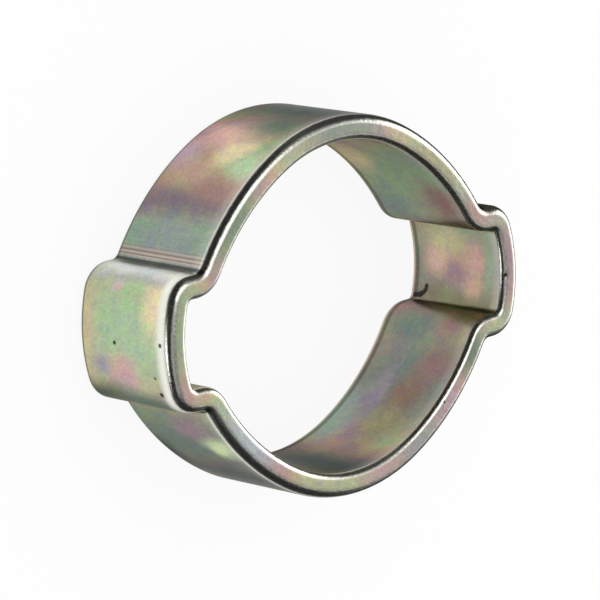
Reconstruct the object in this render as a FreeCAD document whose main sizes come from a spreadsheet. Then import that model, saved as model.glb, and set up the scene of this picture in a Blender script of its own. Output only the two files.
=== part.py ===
import FreeCAD, Part
import math
import os

import Sketcher

# A two-ear hose clamp: one closed ring of flat steel band with an ear on each side.
# The ring slips over a hose on its spigot, and pincers squeeze both ears to close it.
# It is one piece with no seam that shows, so it is one solid.
# The frame has +Z along the hose, +X from the left ear to the right one, and its
# origin in the middle of the lower end face, on which the ring lies.

# Driving dimensions, in millimetres and degrees.
SIZES = {
    # the hose's room, while the clamp is open
    "bore_radius": (10.0, "radius of the round wall that closes on the hose"),
    "band_width": (7.9, "width of the band, along the hose"),
    "band_thickness": (1.5, "thickness of the band"),
    "edge_radius": (0.6, "rounding along the band's four long edges"),
    # how the ring leaves the circle on its way to an ear
    "round_half_angle": (28.0, "true circle on each side of the top and of the bottom"),
    "shoulder_radius": (14.3, "inside radius of the flatter stretch beside an ear"),
    # the ear
    "root_radius": (0.7, "outside radius in the angle between ring and ear"),
    "ear_gap": (5.2, "clear gap between the legs, at their outer ends"),
    "ear_taper": (1.0, "slant of each leg, towards its fellow"),
    "leg_length": (0.4, "straight run of each leg, between its two bends"),
    "corner_radius": (0.4, "inside radius of the ear's two outer corners"),
    "crown_radius": (8.5, "inside radius of the ear's gently arched crown"),
}

NODE = "clamp_ring"
# Two places nearer than this, in millimetres, are the same.
TOUCHING = 1e-6


def make_sheet(doc):
    """The spreadsheet that drives the model: one row a size."""
    sheet = doc.addObject("Spreadsheet::Sheet", "Sizes")
    for row, (alias, (value, words)) in enumerate(SIZES.items(), start=1):
        sheet.set(f"A{row}", alias)
        sheet.set(f"B{row}", str(value))
        sheet.set(f"C{row}", words)
        sheet.setAlias(f"B{row}", alias)
    doc.recompute()
    return sheet


def plane_of(body, role):
    """One of the body's own origin planes."""
    for feature in body.Origin.OriginFeatures:
        if feature.Role == role:
            return feature
    raise RuntimeError(f"the body has no {role}")


def direction(angle):
    """A unit vector in the plan, at an angle from +X."""
    return FreeCAD.Vector(math.cos(angle), math.sin(angle), 0)


def angle_of(vector):
    """The angle of a vector in the plan, from 0 to a full turn."""
    return math.atan2(vector.y, vector.x) % (2 * math.pi)


def side_of_triangle(longest, other):
    """The third side of a right-angled triangle."""
    return math.sqrt(longest**2 - other**2)


def plan_of_the_bends(sheet):
    """Where the five bends of a quarter ring have their centres.

    Inside and outside walls share these centres, because the band has one thickness.
    """
    slant = -math.radians(sheet.ear_taper)
    along = direction(slant)
    across = direction(slant + math.pi / 2)
    bore = FreeCAD.Vector(0, 0, 0)
    bore_end = math.pi / 2 - math.radians(sheet.round_half_angle)
    shoulder = direction(bore_end) * (sheet.bore_radius - sheet.shoulder_radius)
    # the root rolls outside the shoulder and touches the leg at its lower end
    root_inside = sheet.root_radius + sheet.band_thickness
    leg_start_y = sheet.ear_gap / 2 - sheet.leg_length * along.y
    root_y = leg_start_y + root_inside * across.y
    root_x = side_of_triangle(sheet.shoulder_radius + root_inside, root_y - shoulder.y) + shoulder.x
    root = FreeCAD.Vector(root_x, root_y, 0)
    # the corner touches the leg at its upper end and rolls inside the crown
    corner = root - across * (root_inside + sheet.corner_radius) + along * sheet.leg_length
    reach = side_of_triangle(sheet.crown_radius - sheet.corner_radius, corner.y)
    crown = FreeCAD.Vector(corner.x - reach, 0, 0)
    return {"bore": bore, "shoulder": shoulder, "root": root, "corner": corner, "crown": crown}


def wall(centres, radii, slant):
    """One wall of a quarter ring, from the Y axis round to the X axis.

    The order is bore, shoulder, root, leg, corner and crown.
    """
    bore_end = angle_of(centres["bore"] - centres["shoulder"])
    root_side = angle_of(centres["root"] - centres["shoulder"])
    crown_end = angle_of(centres["corner"] - centres["crown"])
    across = slant + math.pi / 2
    spans = {
        "bore": (bore_end, math.pi / 2),
        "shoulder": (root_side, bore_end),
        "root": (root_side + math.pi, slant + 3 * math.pi / 2),
        "corner": (crown_end, across),
        "crown": (0.0, crown_end),
    }
    axis = FreeCAD.Vector(0, 0, 1)
    arcs = {
        name: Part.ArcOfCircle(Part.Circle(centres[name], axis, radii[name]), *span)
        for name, span in spans.items()
    }
    leg = Part.LineSegment(
        centres["root"] - direction(across) * radii["root"],
        centres["corner"] + direction(across) * radii["corner"],
    )
    return [arcs["bore"], arcs["shoulder"], arcs["root"], leg, arcs["corner"], arcs["crown"]]


# The places of a wall's pieces in the list above, and the ends of a piece.
BORE, SHOULDER, ROOT, LEG, CORNER, CROWN = range(6)
START, END, CENTRE = range(1, 4)
# What the sketcher calls its own axes, and its origin's one point.
X_AXIS, Y_AXIS = range(-1, -3, -1)
ORIGIN = (X_AXIS, START)


def joined_smoothly(first):
    """Each piece of a wall runs smoothly into the next. first is the wall's first piece."""
    return [
        Sketcher.Constraint("Tangent", first + BORE, START, first + SHOULDER, END),
        Sketcher.Constraint("Tangent", first + SHOULDER, START, first + ROOT, START),
        Sketcher.Constraint("Tangent", first + ROOT, END, first + LEG, START),
        Sketcher.Constraint("Tangent", first + LEG, END, first + CORNER, END),
        Sketcher.Constraint("Tangent", first + CORNER, START, first + CROWN, END),
        Sketcher.Constraint("PointOnObject", first + BORE, END, Y_AXIS),
        Sketcher.Constraint("PointOnObject", first + CROWN, START, X_AXIS),
    ]


def quarter_sketch(body, sheet):
    """The section across the hose of a quarter of the ring, from +Y round to +X."""
    sketch = body.newObject("Sketcher::SketchObject", "QuarterProfile")
    sketch.AttachmentSupport = (plane_of(body, "XY_Plane"), [""])
    sketch.MapMode = "FlatFace"

    thickness = sheet.band_thickness
    slant = -math.radians(sheet.ear_taper)
    centres = plan_of_the_bends(sheet)
    inside_radii = {
        "bore": sheet.bore_radius,
        "shoulder": sheet.shoulder_radius,
        "root": sheet.root_radius + thickness,
        "corner": sheet.corner_radius,
        "crown": sheet.crown_radius,
    }
    outside_radii = {name: radius + thickness for name, radius in inside_radii.items()}
    outside_radii["root"] = sheet.root_radius

    inside = wall(centres, inside_radii, slant)
    outside = wall(centres, outside_radii, slant)
    top_cut = Part.LineSegment(inside[BORE].EndPoint, outside[BORE].EndPoint)
    side_cut = Part.LineSegment(inside[CROWN].StartPoint, outside[CROWN].StartPoint)
    inner = 0
    outer = len(inside)
    top = outer + len(outside)
    side = top + 1
    sketch.addGeometry([*inside, *outside, top_cut, side_cut], False)

    sketch.addConstraint([*joined_smoothly(inner), *joined_smoothly(outer)])
    sketch.addConstraint([
        Sketcher.Constraint("Coincident", top, START, inner + BORE, END),
        Sketcher.Constraint("Coincident", top, END, outer + BORE, END),
        Sketcher.Constraint("Coincident", side, START, inner + CROWN, START),
        Sketcher.Constraint("Coincident", side, END, outer + CROWN, START),
        Sketcher.Constraint("Coincident", inner + BORE, CENTRE, *ORIGIN),
        Sketcher.Constraint("PointOnObject", inner + CROWN, CENTRE, X_AXIS),
        Sketcher.Constraint("Parallel", inner + LEG, outer + LEG),
    ])
    sketch.addConstraint([
        Sketcher.Constraint("Coincident", inner + bend, CENTRE, outer + bend, CENTRE)
        for bend in (BORE, SHOULDER, ROOT, CORNER, CROWN)
    ])

    # the sizes, each bound to its cell in the sheet
    bound = [
        ("Radius", (inner + BORE,), "bore_radius", "bore_radius"),
        ("Radius", (outer + BORE,), "outer_radius", "bore_radius + Sizes.band_thickness"),
        ("Radius", (inner + SHOULDER,), "shoulder_radius", "shoulder_radius"),
        ("Radius", (outer + ROOT,), "root_radius", "root_radius"),
        ("Radius", (inner + CORNER,), "corner_radius", "corner_radius"),
        ("Radius", (inner + CROWN,), "crown_radius", "crown_radius"),
        ("Angle", (inner + BORE,), "round_half_angle", "round_half_angle"),
        ("Angle", (inner + LEG, START, X_AXIS, START), "ear_taper", "ear_taper"),
        ("DistanceY", (*ORIGIN, inner + LEG, END), "half_gap", "ear_gap / 2"),
        ("Distance", (inner + LEG,), "leg_length", "leg_length"),
    ]
    now = {
        "bore_radius": inside_radii["bore"],
        "outer_radius": outside_radii["bore"],
        "shoulder_radius": inside_radii["shoulder"],
        "root_radius": outside_radii["root"],
        "corner_radius": inside_radii["corner"],
        "crown_radius": inside_radii["crown"],
        "round_half_angle": math.radians(sheet.round_half_angle),
        "ear_taper": -slant,
        "half_gap": sheet.ear_gap / 2,
        "leg_length": sheet.leg_length,
    }
    for kind, places, name, formula in bound:
        index = sketch.addConstraint(Sketcher.Constraint(kind, *places, now[name]))
        sketch.renameConstraint(index, name)
        sketch.setExpression(f"Constraints.{name}", f"Sizes.{formula}")
    return sketch


def long_edges(shape):
    """The names of a quarter's edges that run along the band.

    They lie in its two end faces. The edges of the cuts lie on the X or the Y axis,
    and stay sharp, because the quarters meet there.
    """
    names = []
    for number, edge in enumerate(shape.Edges, start=1):
        box = edge.BoundBox
        flat = box.ZLength < TOUCHING
        on_a_cut = box.XMax < TOUCHING or box.YMax < TOUCHING
        if flat and not on_a_cut:
            names.append(f"Edge{number}")
    return names


def make_ring(doc, sheet):
    """A quarter of the ring, as wide as the band and rounded, mirrored twice."""
    body = doc.addObject("PartDesign::Body", "ClampRing")
    body.Label = NODE
    sketch = quarter_sketch(body, sheet)
    doc.recompute()

    pad = body.newObject("PartDesign::Pad", "QuarterBand")
    pad.Profile = sketch
    pad.setExpression("Length", "Sizes.band_width")
    sketch.Visibility = False
    doc.recompute()

    rounding = body.newObject("PartDesign::Fillet", "RoundedEdges")
    rounding.Base = (pad, long_edges(pad.Shape))
    rounding.setExpression("Radius", "Sizes.edge_radius")
    body.Tip = rounding
    doc.recompute()

    whole = body.newObject("PartDesign::MultiTransform", "WholeBand")
    whole.TransformMode = "Whole shape"
    steps = []
    for name, role in (("OtherSide", "YZ_Plane"), ("LowerHalf", "XZ_Plane")):
        step = body.newObject("PartDesign::Mirrored", name)
        step.MirrorPlane = (plane_of(body, role), [""])
        steps.append(step)
    whole.Transformations = steps
    whole.Refine = True
    body.Tip = whole
    doc.recompute()
    return body


def check(doc, body):
    """Stop if anything failed, before a file is written."""
    for item in doc.Objects:
        if {"Invalid", "Error"} & set(item.State):
            raise RuntimeError(f"{item.Name} is {item.State}")
    shape = body.Shape
    if shape.isNull() or not shape.isValid():
        raise RuntimeError(f"{body.Label} has no valid shape")
    if len(shape.Solids) != 1:
        raise RuntimeError(f"{body.Label} has {len(shape.Solids)} solids")


def main():
    os.makedirs("parts", exist_ok=True)
    doc = FreeCAD.newDocument("EarHoseClamp")
    sheet = make_sheet(doc)
    ring = make_ring(doc, sheet)
    check(doc, ring)
    box = ring.Shape.optimalBoundingBox(False)
    print(f"{NODE}: {box.XLength:.2f} x {box.YLength:.2f} x {box.ZLength:.2f} mm,"
          f" {ring.Shape.Volume:.1f} mm3, {len(ring.Shape.Faces)} faces")
    ring.Shape.exportStep(f"parts/{NODE}.step")


main()
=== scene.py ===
# %% [markdown]
# An ear hose clamp lies on a pale studio floor. On the real object one flat band of zinc-plated
# steel runs in a closed ring, with an ear bent into it on either side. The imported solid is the
# frame: it says where the band is, and everything below is set against it.

# %% Load the frame
import math

import bpy
from mathutils import Matrix, Vector


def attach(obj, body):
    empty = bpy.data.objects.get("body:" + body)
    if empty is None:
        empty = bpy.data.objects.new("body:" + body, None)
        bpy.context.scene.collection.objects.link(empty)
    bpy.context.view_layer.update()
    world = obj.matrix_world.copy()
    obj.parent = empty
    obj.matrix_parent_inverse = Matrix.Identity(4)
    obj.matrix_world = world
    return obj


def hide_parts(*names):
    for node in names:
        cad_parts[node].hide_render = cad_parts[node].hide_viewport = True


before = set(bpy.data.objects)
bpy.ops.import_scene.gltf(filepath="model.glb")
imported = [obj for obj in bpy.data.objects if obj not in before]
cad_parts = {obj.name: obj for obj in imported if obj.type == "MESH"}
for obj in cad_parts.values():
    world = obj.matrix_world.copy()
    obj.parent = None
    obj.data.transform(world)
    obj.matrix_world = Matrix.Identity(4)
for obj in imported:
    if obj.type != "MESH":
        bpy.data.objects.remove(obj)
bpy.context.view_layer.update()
scene = bpy.context.scene
MM = 0.001

# %% [markdown]
# A node tree is a drawing of a sum. Written node by node it is hard to read, so a socket is
# wrapped in a small class that knows plus, minus, times and divide: an ordinary expression then
# adds its own Math nodes. The same board serves the bent band and its finish.

# %% A board for nodes, and wires that can be added and multiplied


class Wire:
    """A socket that carries a value, a vector or a colour."""

    def __init__(self, board, socket):
        self.board = board
        self.socket = socket

    def maths(self, operation, *others):
        values = dict(enumerate((self, *others)))
        return self.board.node("ShaderNodeMath", {"operation": operation}, values)

    def __add__(self, other):
        return self.maths("ADD", other)

    __radd__ = __add__

    def __mul__(self, other):
        return self.maths("MULTIPLY", other)

    __rmul__ = __mul__

    def __sub__(self, other):
        return self.maths("SUBTRACT", other)

    def __rsub__(self, other):
        return self.board.node("ShaderNodeMath", {"operation": "SUBTRACT"}, {0: other, 1: self})

    def __truediv__(self, other):
        return self.maths("DIVIDE", other)

    def __neg__(self):
        return self * -1.0


class Board:
    """A node tree that is filled from Python expressions."""

    def __init__(self, tree):
        self.tree = tree

    def node(self, kind, settings=None, sockets=None, output=0):
        made = self.tree.nodes.new(kind)
        for name, value in (settings or {}).items():
            if name == "stops":
                self.set_stops(made.color_ramp, value)
            else:
                setattr(made, name, value)
        for name, value in (sockets or {}).items():
            if isinstance(value, Wire):
                self.tree.links.new(value.socket, made.inputs[name])
            else:
                made.inputs[name].default_value = value
        return Wire(self, made.outputs[output]) if len(made.outputs) else made

    @staticmethod
    def set_stops(ramp, stops):
        while len(ramp.elements) < len(stops):
            ramp.elements.new(1.0)
        for element, (place, colour) in zip(ramp.elements, stops):
            element.position = place
            element.color = (*colour, 1.0)

    def mix(self, factor, first, second):
        """Two colours mixed. The node's colour inputs are sockets 6 and 7, its result is 2."""
        settings = {"data_type": "RGBA", "blend_type": "MIX", "clamp_factor": True}
        return self.node("ShaderNodeMix", settings, {0: factor, 6: first, 7: second}, 2)

    def rise(self, value, low, high):
        """0 below low, 1 above high, and a smooth slope between them."""
        sockets = {"Value": value, "From Min": low, "From Max": high}
        return self.node("ShaderNodeMapRange", {"interpolation_type": "SMOOTHSTEP"}, sockets)

    def stretch(self, value, begins, full, fades, ends):
        """1 from full to fades, and 0 before it begins and after it ends."""
        return self.rise(value, begins, full) * (1 - self.rise(value, fades, ends))

    def noise(self, place, scale, detail=2.0, roughness=0.5, output=0):
        sockets = {"Vector": place, "Scale": scale, "Detail": detail, "Roughness": roughness}
        return self.node("ShaderNodeTexNoise", None, sockets, output)

    def vector(self, operation, *values, output=0):
        settings = {"operation": operation}
        return self.node("ShaderNodeVectorMath", settings, dict(enumerate(values)), output)

    def scaled(self, vector, amount):
        settings = {"operation": "SCALE"}
        return self.node("ShaderNodeVectorMath", settings, {"Vector": vector, "Scale": amount})

    def length(self, vector):
        return self.vector("LENGTH", vector, output="Value")

    def towards(self, first, second, share):
        """A vector moved a share of the way towards another."""
        change = self.vector("SUBTRACT", second, first)
        return self.vector("ADD", first, self.scaled(change, share))

    def shares_of_reach(self, place, centre, reach):
        """How far a place is from a centre, with the reach on each axis as 1."""
        offset = self.vector("SUBTRACT", place, centre)
        return self.length(self.vector("DIVIDE", offset, reach))

    def joined(self, x, y, z):
        return self.node("ShaderNodeCombineXYZ", None, {"X": x, "Y": y, "Z": z})

    def parts(self, vector):
        return [self.node("ShaderNodeSeparateXYZ", None, {0: vector}, axis) for axis in range(3)]


# %% [markdown]
# The real band is cut from strip and bent in a press: round, shoulder, root, leg, corner and
# crown, and the same again mirrored, four times in all. The bends below have the sizes of the
# solid. From the tangent points of a quarter come the turns that each bend makes.

# %% Sizes of the band and the turns of its bends
BAND_WIDTH = 7.9 * MM
BAND_THICKNESS = 1.5 * MM
OUTER_EDGE_RADIUS = 0.6 * MM
INNER_EDGE_RADIUS = 0.4 * MM
ROUND_RADIUS = 10.0 * MM
ROUND_TURN = math.radians(28.0)
SHOULDER_RADIUS = 14.3 * MM
ROOT_RADIUS = 0.7 * MM
EAR_GAP = 5.2 * MM
EAR_TAPER = math.radians(1.0)
LEG_LENGTH = 0.4 * MM
CORNER_RADIUS = 0.4 * MM
CROWN_RADIUS = 8.5 * MM


def heading(angle):
    return Vector((math.cos(angle), math.sin(angle)))


def angle_of(vector):
    return math.atan2(vector.y, vector.x)


def turns_of_a_quarter():
    """How far each bend of a quarter turns, and how far the ear's middle reaches."""
    quarter_turn = math.pi / 2
    along, across = heading(-EAR_TAPER), heading(quarter_turn - EAR_TAPER)
    round_end = quarter_turn - ROUND_TURN
    shoulder = heading(round_end) * (ROUND_RADIUS - SHOULDER_RADIUS)
    root_inside = ROOT_RADIUS + BAND_THICKNESS
    root_y = EAR_GAP / 2 - LEG_LENGTH * along.y + root_inside * across.y
    roll = SHOULDER_RADIUS + root_inside
    root = Vector((math.sqrt(roll**2 - (root_y - shoulder.y) ** 2) + shoulder.x, root_y))
    corner = root - across * (root_inside + CORNER_RADIUS) + along * LEG_LENGTH
    reach = math.sqrt((CROWN_RADIUS - CORNER_RADIUS) ** 2 - corner.y**2)
    crown_turn = math.atan2(corner.y, reach)
    contact = angle_of(root - shoulder)
    turns = {
        "Round": ROUND_TURN,
        "Shoulder": round_end - contact,
        "Root": quarter_turn - EAR_TAPER - contact,
        "Corner": quarter_turn - EAR_TAPER - crown_turn,
        "Crown": crown_turn,
    }
    return turns, corner.x - reach + CROWN_RADIUS + BAND_THICKNESS / 2


TURNS, EAR_REACH = turns_of_a_quarter()
print("turns in degrees", {name: round(math.degrees(turn), 2) for name, turn in TURNS.items()})
print("middle of the ear at", round(EAR_REACH / MM, 3), "mm")

# %% [markdown]
# The band follows one rule all the way round, so Geometry Nodes make it. The tree walks along a
# quarter from the middle of an ear, adds up what each bend has turned so far, mirrors that into
# the other three quarters, and sweeps a rounded flat section along the closed path. Every size
# is an input of the tree.

# %% Inputs of the band's tree
QUARTERS = 4.0
STEPS_ALONG = 500
STEPS_ROUND_SECTION = 164
STEPS_ROUND_EDGE = 12
BAND_INPUTS = {
    "Band width": BAND_WIDTH,
    "Band thickness": BAND_THICKNESS,
    "Outer edge radius": OUTER_EDGE_RADIUS,
    "Inner edge radius": INNER_EDGE_RADIUS,
    "Ear reach": EAR_REACH,
    "Leg length": LEG_LENGTH,
    "Crown radius": CROWN_RADIUS + BAND_THICKNESS / 2,
    "Corner radius": CORNER_RADIUS + BAND_THICKNESS / 2,
    "Root radius": ROOT_RADIUS + BAND_THICKNESS / 2,
    "Shoulder radius": SHOULDER_RADIUS + BAND_THICKNESS / 2,
    "Round radius": ROUND_RADIUS + BAND_THICKNESS / 2,
    **{name + " turn": turn for name, turn in TURNS.items()},
}


def new_geometry_tree(name, values):
    """A geometry tree with one named input for each value."""
    tree = bpy.data.node_groups.new(name, "GeometryNodeTree")
    tree.interface.new_socket("Geometry", in_out="INPUT", socket_type="NodeSocketGeometry")
    tree.interface.new_socket("Geometry", in_out="OUTPUT", socket_type="NodeSocketGeometry")
    identifiers = {}
    for label, value in values.items():
        kind = "NodeSocketFloat" if isinstance(value, float) else "NodeSocketMaterial"
        socket = tree.interface.new_socket(label, in_out="INPUT", socket_type=kind)
        identifiers[label] = socket.identifier
    return tree, identifiers


# %% The path of the band's middle, with each bend's side: 1 left, -1 right, 0 straight on
BENDS = [
    ("Crown", 1.0),
    ("Corner", 1.0),
    ("Leg", 0.0),
    ("Root", -1.0),
    ("Shoulder", 1.0),
    ("Round", 1.0),
]


def lengths_of(given):
    """The length of strip in each bend of a quarter."""
    turning = [name for name, side in BENDS if side]
    lengths = {name: given(name + " radius") * given(name + " turn") for name in turning}
    return {**lengths, "Leg": given("Leg length")}


def walk(given, lengths, distance):
    """Where the middle of the strip is, a distance along a quarter from the ear's middle."""
    x, y = given("Ear reach"), 0.0
    started, facing = 0.0, math.pi / 2
    for name, side in BENDS:
        done = (distance - started).maths("MAXIMUM", 0.0).maths("MINIMUM", lengths[name])
        if side:
            radius = given(name + " radius") * side
            turned = facing + done / radius
            x = x + radius * (turned.maths("SINE") - sine(facing))
            y = y + radius * (cosine(facing) - turned.maths("COSINE"))
            facing = facing + given(name + " turn") * side
        else:
            x = x + done * cosine(facing)
            y = y + done * sine(facing)
        started = lengths[name] + started
    return x, y


def sine(angle):
    return angle.maths("SINE") if isinstance(angle, Wire) else math.sin(angle)


def cosine(angle):
    return angle.maths("COSINE") if isinstance(angle, Wire) else math.cos(angle)


def closed_path(board, given):
    """The closed middle line of the band, and the distance from the nearest ear's middle."""
    lengths = lengths_of(given)
    quarter = 0.0
    for length in lengths.values():
        quarter = length + quarter
    share = board.node("GeometryNodeInputIndex") / STEPS_ALONG
    distance = (share * quarter * QUARTERS).maths("PINGPONG", quarter)
    x, y = walk(given, lengths, distance)
    phase = share * (2 * math.pi)
    east, north = phase.maths("COSINE").maths("SIGN"), phase.maths("SINE").maths("SIGN")
    place = board.joined(x * east, y * north, given("Band width") * 0.5)
    sockets = {"Resolution": STEPS_ALONG}
    circle = board.node("GeometryNodeCurvePrimitiveCircle", {"mode": "RADIUS"}, sockets)
    path = board.node("GeometryNodeSetPosition", None, {"Geometry": circle, "Position": place})
    path = board.node("GeometryNodeSetCurveNormal", {"mode": "Z_UP"}, {"Curve": path})
    return store(board, path, "from_ear", "FLOAT", distance / MM)


def store(board, geometry, name, kind, value):
    """Keeps a value on the points, where a material can read it by its name."""
    settings = {"data_type": kind, "domain": "POINT"}
    sockets = {"Geometry": geometry, "Name": name, "Value": value}
    return board.node("GeometryNodeStoreNamedAttribute", settings, sockets)


# %% [markdown]
# The section is a rectangle with its long edges rounded. It also keeps, on each of its points,
# where that point is in the strip: how far across, and how deep. The finish needs both, because
# plating looks different on a rim than on a face.

# %% The section
def rounded_section(board, given):
    """The outline of the cut strip, its width along Y."""
    sockets = {"Width": given("Band thickness"), "Height": given("Band width")}
    outline = board.node("GeometryNodeCurvePrimitiveQuadrilateral", {"mode": "RECTANGLE"}, sockets)
    outer_share = board.parts(board.node("GeometryNodeInputPosition"))[0].maths("GREATER_THAN", 0.0)
    inner, outer = given("Inner edge radius"), given("Outer edge radius")
    radius = inner + (outer - inner) * outer_share
    sockets = {"Curve": outline, "Count": STEPS_ROUND_EDGE, "Radius": radius}
    outline = board.node("GeometryNodeFilletCurve", {"mode": "POLY"}, sockets)
    sockets = {"Curve": outline, "Count": STEPS_ROUND_SECTION}
    outline = board.node("GeometryNodeResampleCurve", {"mode": "COUNT"}, sockets)
    place = board.scaled(board.node("GeometryNodeInputPosition"), 1 / MM)
    return store(board, outline, "in_strip", "FLOAT_VECTOR", place)


# %% [markdown]
# The strip has been through a press and a plating drum, so it isn't perfect. There are a few pits
# on the left ear and on the rim, and a curved nick inside the right ear. Each mark is a dent
# that runs through a few points, pushed into the steel, and a pit is a dent of one point. The
# same sum darkens the finish there; on the nick that darkening is a painted dark reflection
# along the back edge. The last two marks are the nick, which gets shallower at its lower end.

# %% Marks in the steel: half width in mm, depth in mm, and the points that it runs through in mm
MARKS = [
    (0.22, 0.05, [(-14.62, -0.07, 3.21)]),
    (0.22, 0.05, [(-14.62, 0.25, 7.15)]),
    (0.14, 0.03, [(-14.45, -1.81, 6.42)]),
    (0.26, 0.06, [(-14.22, -2.80, 6.67)]),
    (0.14, 0.03, [(7.62, -7.26, 7.85)]),
    (0.24, 0.05, [(13.39, -0.36, 7.80)]),
    # the nick, darkened as a painted dark reflection along the back edge
    (
        0.26,
        0.07,
        [(12.92, -1.72, 1.42), (12.89, -1.96, 1.38), (12.85, -2.14, 1.24), (12.81, -2.28, 1.00)],
    ),
    (0.24, 0.06, [(12.81, -2.28, 1.00), (12.79, -2.35, 0.74), (12.79, -2.36, 0.50)]),
]


def distance_to_run(board, place, start, end):
    """How far each point is from a straight run."""
    run = Vector(end) - Vector(start)
    offset = board.vector("SUBTRACT", place, start)
    if run.length > 0:
        along = board.vector("DOT_PRODUCT", offset, run / run.length_squared, output="Value")
        along = along.maths("MAXIMUM", 0.0).maths("MINIMUM", 1.0)
        offset = board.vector("SUBTRACT", offset, board.scaled(run, along))
    return board.length(offset)


def marked(board, place):
    """For each mark, 1 along its middle and 0 outside it, with its depth."""
    shares = []
    for half_width, depth, points in MARKS:
        away = distance_to_run(board, place, points[0], points[0])
        for start, end in zip(points, points[1:]):
            away = away.maths("MINIMUM", distance_to_run(board, place, start, end))
        shares.append((1 - board.rise(away, 0.0, half_width), depth))
    return shares


def dent(board, band, place):
    """Pushes the marks into the steel."""
    depth = 0.0
    for share, mark_depth in marked(board, place):
        depth = share * (mark_depth * MM) + depth
    inwards = board.scaled(board.node("GeometryNodeInputNormal"), -depth)
    return board.node("GeometryNodeSetPosition", None, {"Geometry": band, "Offset": inwards})


# %% [markdown]
# Yellow passivated zinc owes its colours to a film a few tenths of a micrometre thick. Where the
# film is thin the zinc looks grey, pale green and straw yellow, where it is thicker gold, pink,
# mauve and grey, and then green again. One list holds that order, from 0 to 1.

# %% The film's colours, from thin to thick
FILM_COLOURS = [
    (0.00, (0.44, 0.46, 0.41)),
    (0.14, (0.40, 0.52, 0.34)),
    (0.28, (0.53, 0.53, 0.32)),
    (0.40, (0.58, 0.46, 0.32)),
    (0.52, (0.57, 0.39, 0.35)),
    (0.64, (0.45, 0.35, 0.36)),
    (0.76, (0.39, 0.36, 0.38)),
    (0.88, (0.35, 0.40, 0.37)),
    (1.00, (0.34, 0.44, 0.33)),
]
PALE_ZINC = (0.84, 0.85, 0.78, 1.0)
# painted highlight: near-white zinc for a glint strip beside the upper edge of each face
PAINTED_HIGHLIGHT_ZINC = (0.97, 0.98, 0.90, 1.0)
WARM_ZINC = (0.90, 0.80, 0.62, 1.0)
# painted shade: dark zinc on the lower outer edges, for the dark outline and the shade by the floor
PAINTED_SHADE_EDGE_ZINC = (0.25, 0.26, 0.23, 1.0)
RIM_ZINC = (0.50, 0.50, 0.44, 1.0)
# painted dark: shade in the hollow of each root, a dark line inside the lower edge, and the marks
PAINTED_DARK = (0.03, 0.03, 0.027, 1.0)
# what a face seen at a grazing angle mirrors, darker than plain zinc would
GRAZING_ZINC = (0.45, 0.46, 0.45, 1.0)


def shade_of(film, bright):
    """The colour of zinc under a film of some thickness, times a brightness that is partly painted
    light.
    """
    for (thin, first), (thick, second) in zip(FILM_COLOURS, FILM_COLOURS[1:]):
        if film <= thick:
            break
    return Vector(first).lerp(Vector(second), (film - thin) / (thick - thin)) * bright


print("straw yellow", [round(value, 2) for value in shade_of(0.3, 1.0)])
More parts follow.
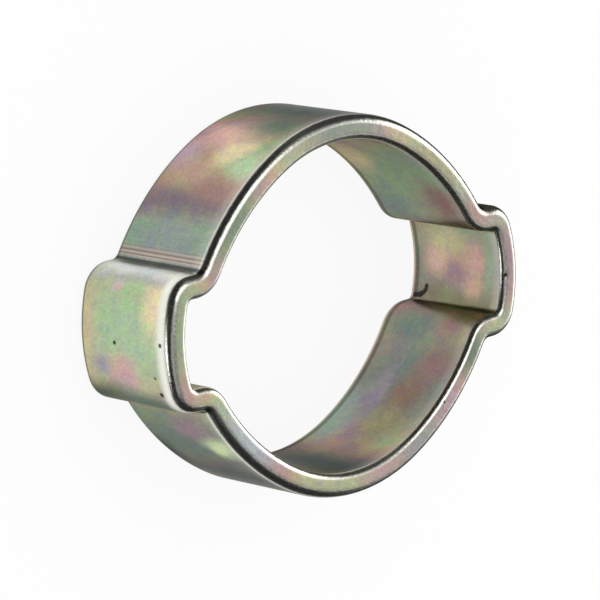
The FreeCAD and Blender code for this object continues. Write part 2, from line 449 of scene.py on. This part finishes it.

# %% [markdown]
# The lists below name the places where the bath left more or less film, and how bright the zinc
# is there. That brightness is partly the zinc's own and partly painted light: the darkest places,
# at the top, the lower left and the bottom inside, are painted dark reflections and shade, the
# brightest ones are painted highlights, and the inside of the ring is painted darker as shade.
# Each place pulls the colour towards its own, strongest in its middle, and noise bends the places
# out of shape, so that their borders wander as the liquid did. The colours are mixed on the
# points of the band, so every border is soft.

# %% Places on the faces: centre and reach in mm, film, brightness, partly painted reflection and shade
FACE_PLACES = [
    # the left ear, outside
    ((-14.6, 0.5, 4.0), (3.0, 6.0, 9.0), 0.15, 1.15),
    ((-14.5, 0.6, 0.5), (2.0, 4.4, 2.2), 0.35, 1.20),
    ((-14.2, 2.4, 6.5), (2.0, 3.0, 1.8), 0.35, 1.55),
    ((-14.1, 3.1, 3.1), (0.6, 0.5, 0.6), 0.55, 1.40),
    ((-14.5, -2.1, 3.8), (1.8, 2.0, 2.8), 0.55, 1.22),
    ((-14.5, -1.6, 1.9), (1.3, 1.1, 1.2), 0.80, 1.05),
    ((-14.0, -3.8, 5.0), (2.0, 1.4, 6.0), 1.00, 0.60),
    ((-14.0, -3.5, 1.0), (2.0, 1.5, 3.4), 1.00, 0.34),
    ((-13.4, 3.7, 4.0), (1.0, 0.6, 9.0), 0.00, 0.90),
    # painted highlight: the pale band along the top of the left ear
    ((-12.4, 4.1, 4.0), (1.8, 1.0, 9.0), 0.00, 2.20),
    # the upper left, outside, from the ear to the top
    ((-10.9, 5.2, 4.0), (3.2, 3.4, 9.0), 0.90, 0.90),
    ((-10.7, 5.6, 7.0), (2.0, 2.0, 2.4), 1.00, 0.90),
    ((-10.6, 5.7, 0.5), (2.0, 2.0, 2.2), 1.00, 0.95),
    ((-9.2, 7.3, 4.0), (1.8, 1.8, 9.0), 0.70, 0.60),
    ((-8.3, 8.2, 5.0), (1.8, 1.6, 3.4), 0.50, 0.70),
    ((-7.3, 9.0, 2.8), (2.0, 1.7, 3.4), 0.45, 1.00),
    ((-6.3, 9.6, 0.6), (2.4, 1.9, 2.6), 0.65, 1.35),
    ((-4.2, 10.6, 3.0), (2.8, 1.8, 4.2), 0.50, 1.60),
    ((-5.8, 10.0, 4.8), (1.9, 1.5, 2.2), 0.35, 1.70),
    ((-6.7, 9.4, 6.6), (1.8, 1.5, 1.8), 0.15, 1.35),
    ((-3.0, 11.0, 5.4), (2.8, 1.5, 3.8), 0.10, 0.60),
    # painted dark reflection: the dark top of the ring
    ((0.5, 11.6, 4.5), (4.8, 2.2, 10.0), 0.90, 0.32),
    # the lower left, outside
    ((-9.5, -6.5, 4.0), (5.0, 5.0, 9.0), 0.95, 0.72),
    ((-10.6, -5.8, 4.8), (1.8, 1.8, 2.8), 0.65, 0.90),
    # painted highlight and painted shade: the pale spot and the dark lower left beside it
    ((-9.5, -7.0, 6.2), (1.6, 1.4, 2.0), 0.20, 1.95),
    ((-6.3, -9.7, 5.0), (3.8, 3.2, 10.0), 0.90, 0.30),
    ((-8.2, -8.2, 0.5), (3.4, 3.2, 1.8), 0.90, 0.28),
    # the upper right, inside
    ((8.5, 5.5, 4.0), (6.0, 6.0, 9.0), 0.15, 0.80),
    ((6.6, 7.5, 1.3), (2.6, 2.6, 2.8), 0.35, 1.25),
    ((10.0, 4.1, 2.0), (2.6, 2.6, 3.2), 0.90, 0.72),
    ((9.6, 4.6, 6.5), (3.2, 3.2, 3.2), 0.50, 0.55),
    # the right ear, inside
    ((12.8, 0.0, 4.0), (3.0, 4.0, 9.0), 0.95, 0.65),
    ((12.9, 2.4, 4.5), (1.5, 1.1, 4.0), 0.10, 0.75),
    ((12.9, -2.4, 4.5), (1.5, 1.0, 9.0), 0.30, 0.50),
    ((13.1, 0.2, 4.1), (2.0, 2.4, 3.2), 0.45, 0.95),
    ((13.1, 1.3, 3.0), (1.8, 1.8, 3.2), 0.30, 1.08),
    ((13.1, -0.2, 2.4), (1.6, 1.7, 1.9), 0.45, 1.35),
    ((13.1, -0.8, 4.0), (1.4, 1.5, 1.7), 0.60, 0.85),
    ((13.1, 0.4, 5.8), (1.4, 2.1, 1.4), 0.50, 1.15),
    ((13.0, -1.4, 5.6), (1.4, 1.3, 1.4), 0.45, 1.10),
    ((13.1, 0.0, 6.85), (1.4, 3.4, 0.6), 0.10, 0.90),
    # the lower right, inside
    ((8.0, -6.5, 4.0), (7.0, 6.0, 9.0), 0.95, 0.62),
    ((5.0, -8.6, 0.8), (4.4, 3.4, 2.4), 0.95, 1.10),
    ((6.9, -7.4, 2.6), (3.8, 3.2, 1.6), 0.75, 0.85),
    ((7.0, -7.2, 5.0), (3.6, 3.2, 2.0), 0.45, 0.50),
    ((4.8, -8.8, 4.8), (3.0, 2.0, 2.0), 0.30, 0.65),
    ((8.9, -5.5, 5.8), (2.4, 2.6, 2.2), 0.55, 0.60),
    ((10.3, -3.4, 2.8), (2.0, 1.9, 3.6), 0.95, 0.65),
    ((10.4, -3.3, 6.0), (1.4, 1.2, 1.3), 0.55, 0.70),
    # painted shade: the dark bottom of the inside
    ((0.0, -10.1, 4.5), (3.8, 2.2, 10.0), 0.90, 0.40),
]

# %% Places on the rims, where a line across the strip's edge has one colour
RIM_PLACES = [
    ((0.0, 10.8, 7.9), (6.0, 4.0, 3.0), 0.05, 0.55),
    ((7.8, 7.8, 7.9), (5.0, 5.0, 3.0), 0.30, 0.65),
    ((13.6, 0.4, 7.9), (4.0, 5.0, 3.0), 0.60, 0.60),
    ((11.3, 4.2, 7.9), (2.5, 2.5, 3.0), 0.50, 0.65),
    ((10.3, -4.8, 7.9), (3.0, 3.0, 3.0), 0.10, 0.35),
    ((5.5, -9.5, 7.9), (3.5, 3.5, 3.0), 0.00, 0.65),
    ((-1.5, -10.7, 7.9), (4.5, 3.0, 3.0), 0.25, 0.85),
    ((-9.2, -6.4, 7.9), (4.0, 4.0, 3.0), 0.85, 1.25),
    ((-13.8, 1.0, 7.9), (3.5, 4.5, 3.0), 0.20, 0.68),
    ((-9.2, 6.5, 7.9), (4.5, 4.5, 3.0), 0.15, 0.50),
]


# %% The film on every point
# noise is given by how fine it is, how many layers it has and how rough they are
FILM_CLOUDS = (0.22, 3.0)
FILM_SPAN = 1.6
FILM_BELOW = 0.42
BRIGHT_CLOUDS = (0.154, 1.0)
BRIGHT_SPAN = 0.5
BRIGHT_LEAST = 0.6
# how fine a drift is, and how far it moves a border in mm
DRIFTS = [(0.3, 0.8), (1.1, 0.2)]
NOISE_MIDDLE = (0.5, 0.5, 0.5)
# the share of its reach up to which a place pulls fully, and where its pull ends
PULL = (0.1, 1.0)
# how far across the strip the rim's colour comes in, in mm from the strip's middle
RIM_STARTS = (3.45, 3.85)


def pulled(board, place, places, shade):
    """The colour after each place of a list has pulled it towards its own."""
    for centre, reach, film, bright in places:
        pull = 1 - board.rise(board.shares_of_reach(place, centre, reach), *PULL)
        shade = board.towards(shade, shade_of(film, bright), pull)
    return shade


def rim_share(board, in_strip):
    """1 on the rims, 0 on the faces."""
    return board.rise(board.parts(in_strip)[1].maths("ABSOLUTE"), *RIM_STARTS)


def shade_with_painted_light(board, place):
    """The colour on the faces, and on the rims, where the bath ran off, with painted reflections
    and shade in its brightness.
    """
    film = board.noise(place, *FILM_CLOUDS) * FILM_SPAN - FILM_BELOW
    shade = board.node("ShaderNodeValToRGB", {"stops": FILM_COLOURS}, {"Fac": film})
    clouds = board.noise(place, *BRIGHT_CLOUDS)
    shade = board.scaled(shade, clouds * BRIGHT_SPAN + BRIGHT_LEAST)
    wandering = place
    for scale, amount in DRIFTS:
        drift = board.vector("SUBTRACT", board.noise(place, scale, output="Color"), NOISE_MIDDLE)
        wandering = board.vector("ADD", wandering, board.scaled(drift, 2 * amount))
    on_face = pulled(board, wandering, FACE_PLACES, shade)
    on_rim = pulled(board, wandering, RIM_PLACES, shade)
    settings = {"data_type": "FLOAT_VECTOR"}
    in_strip = board.node("GeometryNodeInputNamedAttribute", settings, {"Name": "in_strip"})
    return board.towards(on_face, on_rim, rim_share(board, in_strip))


# %% The whole tree
def dress_band(board, given, band):
    """Plating, marks, finish and smooth shading."""
    place = board.scaled(board.node("GeometryNodeInputPosition"), 1 / MM)
    band = store(board, band, "plating", "FLOAT_VECTOR", shade_with_painted_light(board, place))
    band = dent(board, band, place)
    band = board.node("GeometryNodeSetShadeSmooth", None, {"Geometry": band, "Shade Smooth": True})
    band = board.node("GeometryNodeRealizeInstances", None, {"Geometry": band})
    sockets = {"Geometry": band, "Material": given("Finish")}
    return board.node("GeometryNodeSetMaterial", None, sockets)


def band_tree(finish):
    """The tree, and the identifiers of its inputs with their values."""
    values = {**BAND_INPUTS, "Finish": finish}
    tree, identifiers = new_geometry_tree("bent_band", values)
    board = Board(tree)
    inlet = tree.nodes.new("NodeGroupInput")

    def given(label):
        return Wire(board, inlet.outputs[label])

    path = closed_path(board, given)
    section = rounded_section(board, given)
    band = board.node("GeometryNodeCurveToMesh", None, {"Curve": path, "Profile Curve": section})
    band = dress_band(board, given, band)
    outlet = tree.nodes.new("NodeGroupOutput")
    tree.links.new(band.socket, outlet.inputs["Geometry"])
    return tree, {identifiers[label]: value for label, value in values.items()}


# %% [markdown]
# Over that lie the finer things that make the finish look like plated steel: a mottle a
# millimetre wide in the film, a grain a tenth of a millimetre wide in the brightness, and fine
# lines straight across the strip where the press folded the root of each ear, whose creases carry
# painted light and shade. The rounded edges are rubbed pale, the rims are greyer than the faces,
# and the upper corner of the left ear is rubbed matt. Painted light lies over it as well: a
# painted highlight strip beside the upper edges, painted shade on the lower outer edges and in
# the hollow of each root, and a painted dark line inside above the lower edge.

# %% Lines, edges and grain: where they are
# along the strip, in mm from the middle of the nearest ear
LINES_FROM_EAR = (5.0, 5.8, 6.9, 11.0)
LINES_GONE = (11.0, 14.0)
# where the painted shade in the hollow of the root lies
ROOT_SHADE_FROM_EAR = (4.5, 4.9, 5.25, 5.55)
CREASES_FROM_EAR = (5.55, 5.75, 6.1, 6.6)
MATT_FROM_EAR = (2.7, 3.1, 3.8, 4.4)
CROWN_ENDS = (3.2, 4.6)
# across the strip, in mm from its middle
MATT_ENDS = (3.2, 3.5)
HIGHLIGHT_STRIP_ACROSS = (2.6, 3.3, 3.4, 3.6)
HIGHLIGHT_FARTHER_INSIDE = 0.2
PAINTED_DARK_LINE_ACROSS = (3.15, 3.3, 3.45, 3.6)
# through the strip, in mm from its middle, outside above 0
OUTER_FACE = (0.4, 0.7)
OUTER_HOLLOW = (0.3, 0.6)
OUTER_HALF = (-0.5, 0.5)
INNER_HALF = (-0.2, 0.3)
# in the frame, in mm
CLEAR_OF_RING = 10.0
UPPER_HALF = (-2.0, 2.0)

# %% Lines, edges and grain: how strong they are
# noise again by how fine it is, how many layers it has and how rough they are
GRAIN = (7.0, 4.0, 0.7)
MOTTLE = (1.1, 5.0, 0.62)
FLECKS = (3.2, 6.0, 0.7)
SPARKS = (11.0, 1.0)
SPARKS_RISE = (0.66, 0.74)
LINES = (1.0, 3.0, 0.6)
# lines are that noise, packed close along the strip and drawn out across it
LINES_ALONG = 7.0
LINES_ACROSS = 0.25
LINES_FADED = 0.85
CREASE_SPACING = 0.27
CREASE_FILM = 0.5
CREASE_BRIGHT = 0.9
# how strongly the crease ridges' painted light and shade swings
CREASE_PAINTED_RELIEF = 0.35
CREASES_BELOW = 0.2
# the mottle's film is noise times a span less a little, and the grain and lines move it too
MOTTLE_SPAN = 1.6
MOTTLE_BELOW = 0.3
MOTTLE_BY_GRAIN = 0.4
MOTTLE_BY_LINES = 0.4
# its colour is divided by its middle one, so that it tints without darkening
MOTTLE_BALANCE = (0.48, 0.38, 0.26)
MOTTLE_SHARE = 0.3
BRIGHT_BASE = 0.40
BRIGHT_BY_GRAIN = 0.68
BRIGHT_BY_FLECKS = 0.52
BRIGHT_BY_LINES = 0.24
BRIGHT_BY_SPARKS = 0.3
SATURATION = 1.2
# the painted highlight strip everywhere, what an ear adds, and what the outside of an ear adds to
# that
HIGHLIGHT_SHARE = 0.15
HIGHLIGHT_SHARE_EAR = 0.15
HIGHLIGHT_SHARE_OUTSIDE = 0.65
# how much of each layer covers what is below it, and from where to where a layer rises
SHARES = {"root": 0.6, "rim": 0.15, "edge": 0.75, "line": 0.5, "hollow": 0.8, "mark": 0.92}
RIM_RISE = (0.6, 1.0)
EDGE_RISE = (0.1, 0.5)
MARK_RISE = (0.1, 0.6)


def told(board, name, output="Fac"):
    """Reads a value that the band's tree has stored."""
    return board.node("ShaderNodeAttribute", {"attribute_name": name}, None, output)


def folding_lines(board, from_ear, across):
    """Fine lines across the strip, -1 to 1, strongest by the root of an ear."""
    place = board.joined(from_ear * LINES_ALONG, across * LINES_ACROSS, 0.0)
    lines = board.noise(place, *LINES) * 2 - 1
    begins, full, fades, faded = LINES_FROM_EAR
    weaker = 1 - board.rise(from_ear, fades, faded) * LINES_FADED
    near = board.rise(from_ear, begins, full) * weaker
    return lines * near * (1 - board.rise(from_ear, *LINES_GONE))


def rounded_edge(board, in_strip):
    """1 in the middle of a rounded edge, 0 on the flats, and 1 on the rims, 0 on the faces."""
    deep, across, _ = board.parts(in_strip)
    outside = deep.maths("GREATER_THAN", 0.0)
    radius = outside * ((OUTER_EDGE_RADIUS - INNER_EDGE_RADIUS) / MM) + INNER_EDGE_RADIUS / MM
    into_face = deep.maths("ABSOLUTE") - BAND_THICKNESS / 2 / MM + radius
    into_rim = across.maths("ABSOLUTE") - BAND_WIDTH / 2 / MM + radius
    from_face = into_face.maths("MAXIMUM", 0.0) / radius
    from_rim = into_rim.maths("MAXIMUM", 0.0) / radius
    return from_face * from_rim * 2, from_rim


def root_creases(board, from_ear, deep):
    """Creases straight across the strip outside the root, -1 to 1, and how near the root is. The -1
    to 1 swing is painted light and shade.
    """
    near = board.stretch(from_ear, *CREASES_FROM_EAR) * board.rise(deep, *OUTER_FACE)
    return (from_ear * (2 * math.pi / CREASE_SPACING)).maths("SINE") * near, near


def root_painted_shade(board, from_ear, deep):
    """Painted shade in the hollow of the root, on the outside."""
    return board.stretch(from_ear, *ROOT_SHADE_FROM_EAR) * board.rise(deep, *OUTER_HOLLOW)


def matt_corner(board, place, in_strip):
    """1 where the left ear's upper corner is rubbed matt, on the outside."""
    on_corner = board.stretch(told(board, "from_ear"), *MATT_FROM_EAR)
    x, y, _ = board.parts(place)
    on_left_ear = x.maths("LESS_THAN", -CLEAR_OF_RING) * y.maths("GREATER_THAN", 0.0)
    deep, across, _ = board.parts(in_strip)
    off_rims = 1 - board.rise(across.maths("ABSOLUTE"), *MATT_ENDS)
    return on_corner * on_left_ear * (board.rise(deep, *OUTER_FACE) * off_rims)


def painted_highlight_strip(board, from_ear, in_strip):
    """A painted highlight: a narrow strip of each face beside its upper edge, most of all on the
    outside of an ear.
    """
    deep, across, _ = board.parts(in_strip)
    outside = deep.maths("GREATER_THAN", 0.0)
    on_ear = 1 - board.rise(from_ear, *CROWN_ENDS)
    beside_edge = -across - (1 - outside) * HIGHLIGHT_FARTHER_INSIDE
    strip = board.stretch(beside_edge, *HIGHLIGHT_STRIP_ACROSS)
    more_on_ear = HIGHLIGHT_SHARE_EAR + outside * HIGHLIGHT_SHARE_OUTSIDE
    return strip * (HIGHLIGHT_SHARE + on_ear * more_on_ear)


def edge_zinc(board, in_strip):
    """Zinc of a rounded edge: rubbed pale above, warm inside below, and painted shade outside
    below.
    """
    deep, across, _ = board.parts(in_strip)
    below = board.mix(deep.maths("GREATER_THAN", 0.0), WARM_ZINC, PAINTED_SHADE_EDGE_ZINC)
    return board.mix(across.maths("GREATER_THAN", 0.0), PALE_ZINC, below)


def painted_dark_line(board, in_strip):
    """A thin painted dark line, a painted reflection, on the inside of the band, just above its
    lower edge.
    """
    deep, across, _ = board.parts(in_strip)
    return board.stretch(across, *PAINTED_DARK_LINE_ACROSS) * board.rise(-deep, *INNER_HALF)


# %% The finish
def plain_plating(board, place, grain, lines):
    """The film's colour with the painted reflections and shade of the places, and its mottle,
    flecks and sparks.
    """
    film = board.noise(place, *MOTTLE) * MOTTLE_SPAN - MOTTLE_BELOW
    film = film + (grain - 0.5) * MOTTLE_BY_GRAIN + lines * MOTTLE_BY_LINES
    mottle = board.node("ShaderNodeValToRGB", {"stops": FILM_COLOURS}, {"Fac": film})
    mottle = board.vector("DIVIDE", mottle, MOTTLE_BALANCE)
    flecks = board.noise(place, *FLECKS)
    sparks = board.rise(board.noise(place, *SPARKS), *SPARKS_RISE)
    bright = BRIGHT_BASE + grain * BRIGHT_BY_GRAIN + flecks * BRIGHT_BY_FLECKS
    bright = bright + lines * BRIGHT_BY_LINES + sparks * BRIGHT_BY_SPARKS
    colour = board.scaled(told(board, "plating", "Vector"), bright)
    colour = board.mix(MOTTLE_SHARE, colour, board.vector("MULTIPLY", colour, mottle))
    sockets = {"Saturation": SATURATION, "Color": colour}
    return board.node("ShaderNodeHueSaturation", None, sockets)


def plating_colour(board, place, in_strip):
    """Colour of the plating with its painted light, the grain and the rounded edges, which also
    change its gloss.
    """
    grain = board.noise(place, *GRAIN)
    deep, across, _ = board.parts(in_strip)
    from_ear = told(board, "from_ear")
    lines = folding_lines(board, from_ear, across) * board.rise(deep, *OUTER_HALF)
    colour = plain_plating(board, place, grain, lines)
    crease, near_root = root_creases(board, from_ear, deep)
    above = board.rise(board.parts(place)[1], *UPPER_HALF) * (1 - CREASES_BELOW) + CREASES_BELOW
    folded = (*shade_of(CREASE_FILM, CREASE_BRIGHT), 1.0)
    colour = board.mix(near_root * above * SHARES["root"], colour, folded)
    # painted light and shade of the crease ridges
    colour = board.scaled(colour, 1 + crease * above * CREASE_PAINTED_RELIEF)
    edge, from_rim = rounded_edge(board, in_strip)
    marks_darkened = 0.0
    for share, _ in marked(board, place):
        marks_darkened = share + marks_darkened
    layers = [
        (board.rise(from_rim, *RIM_RISE) * SHARES["rim"], RIM_ZINC),
        # the painted highlight strip beside the upper edges
        (painted_highlight_strip(board, from_ear, in_strip), PAINTED_HIGHLIGHT_ZINC),
        # the rounded edges, with painted shade on the lower outer ones
        (board.rise(edge, *EDGE_RISE) * SHARES["edge"], edge_zinc(board, in_strip)),
        # painted dark line: a painted reflection along the inner lower edge
        (painted_dark_line(board, in_strip) * SHARES["line"], PAINTED_DARK),
        # painted shade in the hollow of each root
        (root_painted_shade(board, from_ear, deep) * SHARES["hollow"], PAINTED_DARK),
        # the marks darkened; on the nick this is a painted dark reflection
        (board.rise(marks_darkened, *MARK_RISE) * SHARES["mark"], PAINTED_DARK),
    ]
    for share, layer in layers:
        colour = board.mix(share, colour, layer)
    return colour, grain, edge


# %% Gloss and relief of the finish
GLOSS_CLOUDS = (2.2, 3.0)
ROUGHNESS_LEAST = 0.22
ROUGHNESS_BY_CLOUDS = 0.1
ROUGHNESS_BY_GRAIN = 0.08
POLISH_ON_EDGES = 0.12
RIM_LUMPS = (2.6, 3.0, 0.6)
RIM_LUMPS_HEIGHT = 3.5
RELIEF_STRENGTH = 0.3
RELIEF_HEIGHT = 0.02 * MM
MATT_SHARE = 0.7


def plated_finish():
    """Zinc-plated steel under its passivated film."""
    material = bpy.data.materials.new("zinc_plated_band")
    material.use_nodes = True
    material.node_tree.nodes.clear()
    board = Board(material.node_tree)
    place = board.scaled(board.node("ShaderNodeTexCoord", output="Object"), 1 / MM)
    in_strip = told(board, "in_strip", "Vector")
    colour, grain, edge = plating_colour(board, place, in_strip)
    roughness = ROUGHNESS_LEAST + board.noise(place, *GLOSS_CLOUDS) * ROUGHNESS_BY_CLOUDS
    roughness = roughness + grain * ROUGHNESS_BY_GRAIN - edge * POLISH_ON_EDGES
    lumps = board.noise(place, *RIM_LUMPS) * rim_share(board, in_strip)
    height = grain + lumps * RIM_LUMPS_HEIGHT
    sockets = {"Strength": RELIEF_STRENGTH, "Distance": RELIEF_HEIGHT, "Height": height}
    bumped = board.node("ShaderNodeBump", None, sockets)
    sockets = {
        "Base Color": colour,
        "Metallic": 1 - matt_corner(board, place, in_strip) * MATT_SHARE,
        "Roughness": roughness,
        "Normal": bumped,
        "Specular Tint": GRAZING_ZINC,
    }
    shader = board.node("ShaderNodeBsdfPrincipled", None, sockets)
    board.node("ShaderNodeOutputMaterial", None, {"Surface": shader})
    return material


FINISH = plated_finish()
print("nodes in the finish", len(FINISH.node_tree.nodes))

# %% [markdown]
# The tree runs once, on an empty carrier, and its result is kept as a plain mesh. That mesh rides
# on the clamp's one body and stands for the imported ring, which is hidden.

# %% Make the band and put it in the frame


def plain_mesh(name, tree, values):
    """Runs a tree once and returns its result as an ordinary mesh object."""
    carrier = bpy.data.objects.new(name + "_carrier", bpy.data.meshes.new(name + "_carrier"))
    scene.collection.objects.link(carrier)
    modifier = carrier.modifiers.new(name, "NODES")
    modifier.node_group = tree
    for identifier, value in values.items():
        modifier[identifier] = value
    evaluated = carrier.evaluated_get(bpy.context.evaluated_depsgraph_get())
    mesh = bpy.data.meshes.new_from_object(evaluated)
    carrier.modifiers.remove(modifier)
    bpy.data.objects.remove(carrier)
    mesh.name = name
    made = bpy.data.objects.new(name, mesh)
    scene.collection.objects.link(made)
    return made


band = plain_mesh("hose_clamp_band", *band_tree(FINISH))
points = [Vector(vertex.co) for vertex in band.data.vertices]
low = [round(min(point[axis] for point in points) / MM, 3) for axis in range(3)]
high = [round(max(point[axis] for point in points) / MM, 3) for axis in range(3)]
print("band", len(band.data.polygons), "faces, from", low, "to", high, "mm")
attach(band, "root")
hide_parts("clamp_ring")

# %% [markdown]
# The floor is a plain pale sheet far larger than the view. It keeps the soft shadow under the
# band. A share of plain white is mixed in where the camera or a reflection looks at it, so the
# background is white without any more light on the band, and the metal shows that white too.
# In the reflections the sheet ends a little way out and the dim room begins, as it would on a
# photographer's table. That is what draws the thin dark outline on the far edges of the band.

# %% Floor
FLOOR_HALF = 3.0
FLOOR_BELOW = 0.02 * MM
FLOOR_WHITE_SEEN = 0.9
FLOOR_WHITE_MIRRORED = 0.6
FLOOR_COLOUR = (0.86, 0.86, 0.85, 1.0)
# the sheet in the reflections is an ellipse, in mm, and its border is soft
SHEET_MIDDLE = (-24.0, 0.0, 0.0)
SHEET_HALF = (42.0, 36.0, 1.0)
SHEET_ENDS = (0.94, 1.06)
WHITE = (1.0, 1.0, 1.0, 1.0)
DARK_TABLE = 0.06


def floor_finish():
    material = bpy.data.materials.new("pale_floor")
    material.use_nodes = True
    material.node_tree.nodes.clear()
    board = Board(material.node_tree)
    matt = board.node("ShaderNodeBsdfDiffuse", None, {"Color": FLOOR_COLOUR})
    white = board.node("ShaderNodeEmission", None, {"Color": WHITE})
    dim = board.node("ShaderNodeEmission", None, {"Color": WHITE, "Strength": DARK_TABLE})
    seen = board.node("ShaderNodeLightPath", output="Is Camera Ray")
    mirrored = board.node("ShaderNodeLightPath", output="Is Glossy Ray")
    sockets = {"Fac": seen * FLOOR_WHITE_SEEN + mirrored * FLOOR_WHITE_MIRRORED, 1: matt, 2: white}
    sheet = board.node("ShaderNodeMixShader", None, sockets)
    place = board.scaled(board.node("ShaderNodeTexCoord", output="Object"), 1 / MM)
    past_sheet = board.rise(board.shares_of_reach(place, SHEET_MIDDLE, SHEET_HALF), *SHEET_ENDS)
    sockets = {"Fac": mirrored * past_sheet, 1: sheet, 2: dim}
    shader = board.node("ShaderNodeMixShader", None, sockets)
    board.node("ShaderNodeOutputMaterial", None, {"Surface": shader})
    return material


def square(name, half, height, material):
    """A flat square, facing up."""
    mesh = bpy.data.meshes.new(name)
    points = [(x * half, y * half, height) for x, y in ((-1, -1), (1, -1), (1, 1), (-1, 1))]
    mesh.from_pydata(points, [], [(0, 1, 2, 3)])
    mesh.materials.append(material)
    made = bpy.data.objects.new(name, mesh)
    scene.collection.objects.link(made)
    return made


floor = square("pale_floor", FLOOR_HALF, -FLOOR_BELOW, floor_finish())

# %% [markdown]
# Bright metal is only as good as what it mirrors. A photographer sets a few soft boxes in a
# dim room: the boxes give the white lines along the rounded edges, and the dim room the black
# ones beside them. The world does the same by direction alone. What is matt, which here is the
# floor and one corner of the left ear, gets one even soft light.

# %% Studio
EVEN_LIGHT = 1.1
DIM_ROOM = 0.3
# direction, where it is full and where it ends in degrees from it, and its level; each light or
# dark place lies over those before it
STUDIO = [
    ((-0.60, -0.10, 0.75), 40.0, 75.0, 0.03),
    ((0.15, -0.90, 0.32), 26.0, 44.0, 0.03),
    ((-0.30, 0.90, 0.30), 25.0, 45.0, 0.03),
    ((0.67, 0.71, 0.20), 18.0, 35.0, 0.05),
    ((-0.15, -0.30, 0.94), 10.0, 22.0, 0.4),
    ((0.70, -0.15, 0.70), 13.0, 25.0, 0.85),
    ((0.17, 0.28, 0.94), 12.0, 23.0, 1.9),
    ((-0.95, -0.25, 0.10), 9.0, 17.0, 2.2),
    ((0.95, 0.00, 0.30), 18.0, 27.0, 2.4),
]


def studio_world():
    world = bpy.data.worlds.new("studio")
    scene.world = world
    world.use_nodes = True
    world.cycles.sampling_method = "NONE"
    world.node_tree.nodes.clear()
    board = Board(world.node_tree)
    direction = board.node("ShaderNodeTexCoord", output="Generated")
    mirrored = DIM_ROOM
    for toward, full, ended, level in STUDIO:
        facing = board.vector("DOT_PRODUCT", direction, Vector(toward).normalized(), output="Value")
        share = board.rise(facing, math.cos(math.radians(ended)), math.cos(math.radians(full)))
        mirrored = share * level + (1 - share) * mirrored
    seen = board.node("ShaderNodeLightPath", output="Is Camera Ray")
    matt = board.node("ShaderNodeLightPath", output="Is Diffuse Ray")
    level = seen + matt * EVEN_LIGHT + (1 - seen - matt) * mirrored
    light = board.node("ShaderNodeBackground", None, {"Color": WHITE, "Strength": level})
    board.node("ShaderNodeOutputWorld", None, {"Surface": light})


studio_world()

# %% [markdown]
# The camera looks down on the lying ring from the side of its left ear, through a long lens. Its
# turns, in radians and in this order, and its slide in mm along its own axes were fitted together
# with the ring's sizes, until the ring's edges fell where the photo shows them.

# %% Camera
CAMERA_TURNS = {"Y": 0.75899, "X": 0.20854, "Z": 0.04207}
CAMERA_SLIDE = Vector((2.454, -0.520, 254.90)) * MM
CAMERA_LENS = 252.2
CAMERA_SENSOR = 36.0
CAMERA_SEES = (0.01, 20.0)


def aim_camera():
    data = bpy.data.cameras.new("camera")
    data.lens = CAMERA_LENS
    data.sensor_width = CAMERA_SENSOR
    data.clip_start, data.clip_end = CAMERA_SEES
    camera = bpy.data.objects.new("camera", data)
    scene.collection.objects.link(camera)
    turned = Matrix.Identity(3)
    for axis, angle in CAMERA_TURNS.items():
        turned = Matrix.Rotation(angle, 3, axis) @ turned
    back = turned.transposed()
    camera.matrix_world = Matrix.Translation(back @ CAMERA_SLIDE) @ back.to_4x4()
    scene.camera = camera
    print("camera at", [round(value, 4) for value in camera.location])


aim_camera()
scene.view_settings.view_transform = "Standard"

# %% [markdown]
# Last, the view layer is brought up to date.

# %% Bring the scene up to date
bpy.context.view_layer.update()
